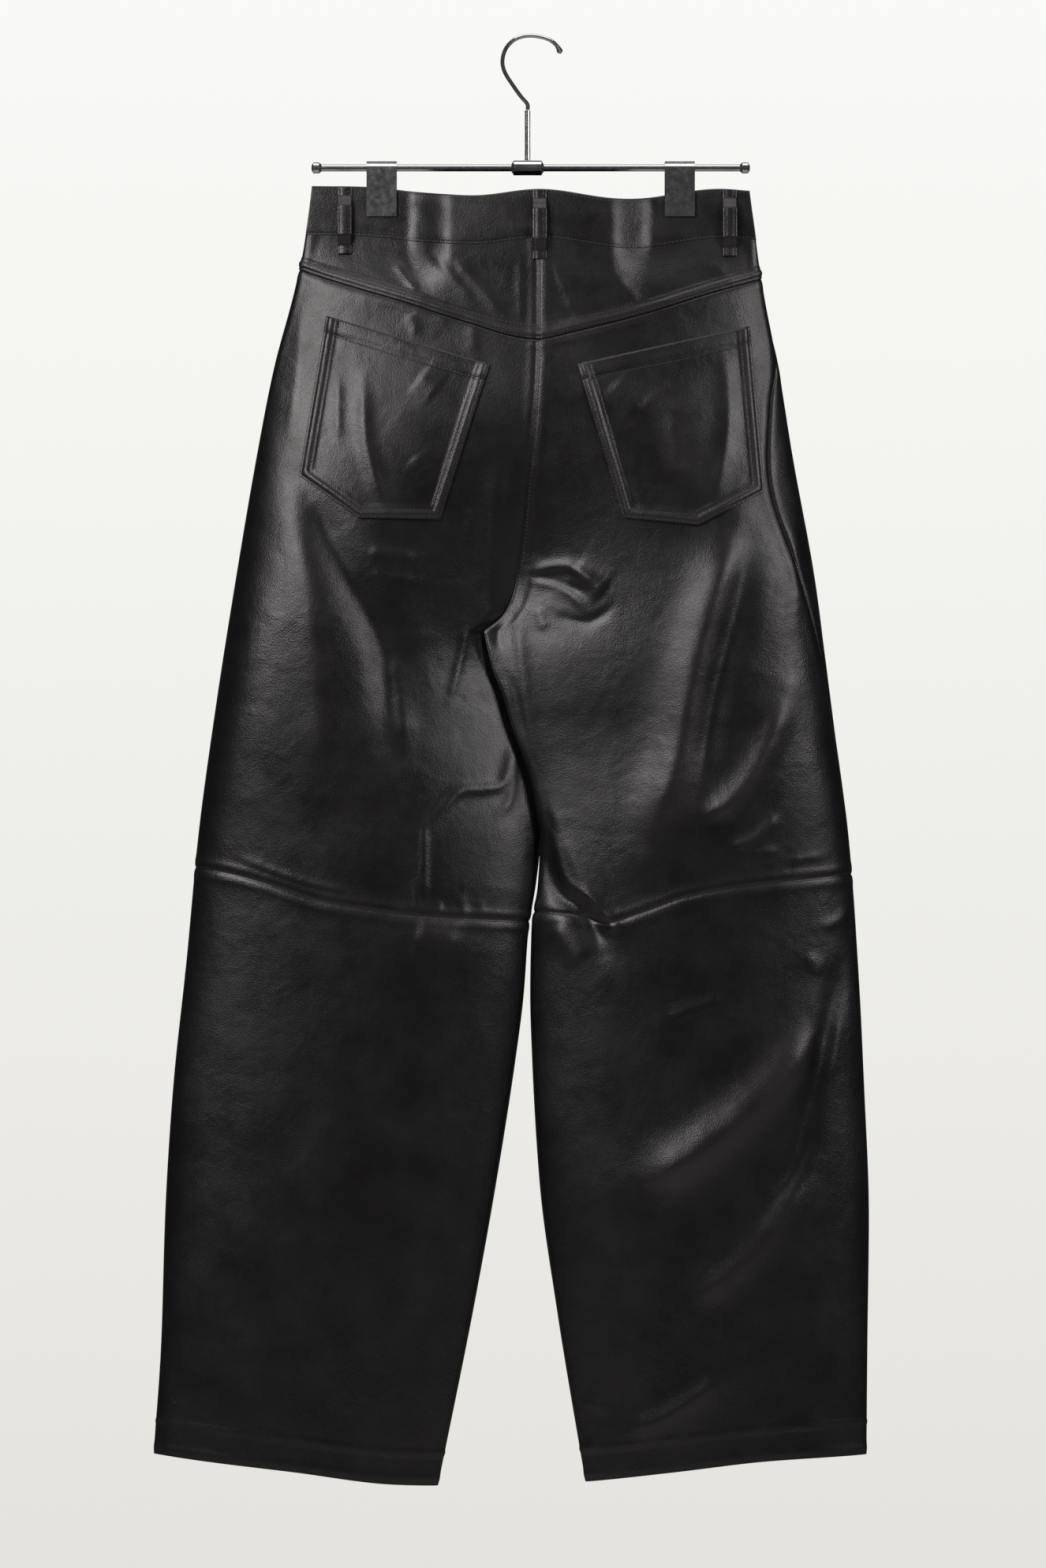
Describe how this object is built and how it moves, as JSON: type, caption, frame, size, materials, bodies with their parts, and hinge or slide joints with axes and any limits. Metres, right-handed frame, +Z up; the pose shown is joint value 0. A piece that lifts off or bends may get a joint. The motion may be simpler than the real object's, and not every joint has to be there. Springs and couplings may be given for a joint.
{
  "type": "leather trousers on a clip hanger",
  "caption": "Wide barrel-leg leather trousers with patch pockets, yokes and belt loops, hung by the waistband from a clip hanger.",
  "frame": {"origin": "inside of the top of the hanger's hook, where a rail carries it", "axes": "+Z up, +X towards the wearer's right, +Y towards the front of the trousers, so the back faces -Y"},
  "size_m": [0.5719, 0.0757, 1.1592],
  "materials": {
    "black_leather": "smooth black nappa leather with a soft gloss",
    "dark_button": "dark satin metal button",
    "hanger_steel": "bright plated steel wire and bent clips"
  },
  "bodies": {
    "root": {"waistband_back": "black_leather", "waistband_front_left": "black_leather", "waistband_front_right": "black_leather", "yoke_left": "black_leather", "yoke_right": "black_leather", "back_upper_left": "black_leather", "back_upper_right": "black_leather", "back_lower_left": "black_leather", "back_lower_right": "black_leather", "front_upper_left": "black_leather", "front_upper_right": "black_leather", "front_lower_left": "black_leather", "front_lower_right": "black_leather", "hem_left": "black_leather", "hem_right": "black_leather", "pocket_left": "black_leather", "pocket_right": "black_leather", "loop_back_left": "black_leather", "loop_back_centre": "black_leather", "loop_back_right": "black_leather", "loop_front_left": "black_leather", "loop_front_right": "black_leather", "fly": "black_leather", "button": "dark_button", "hanger_hook": "hanger_steel", "hanger_stem": "hanger_steel", "hanger_bar": "hanger_steel", "clip_left": "hanger_steel", "clip_right": "hanger_steel"}
  },
  "joints": []
}
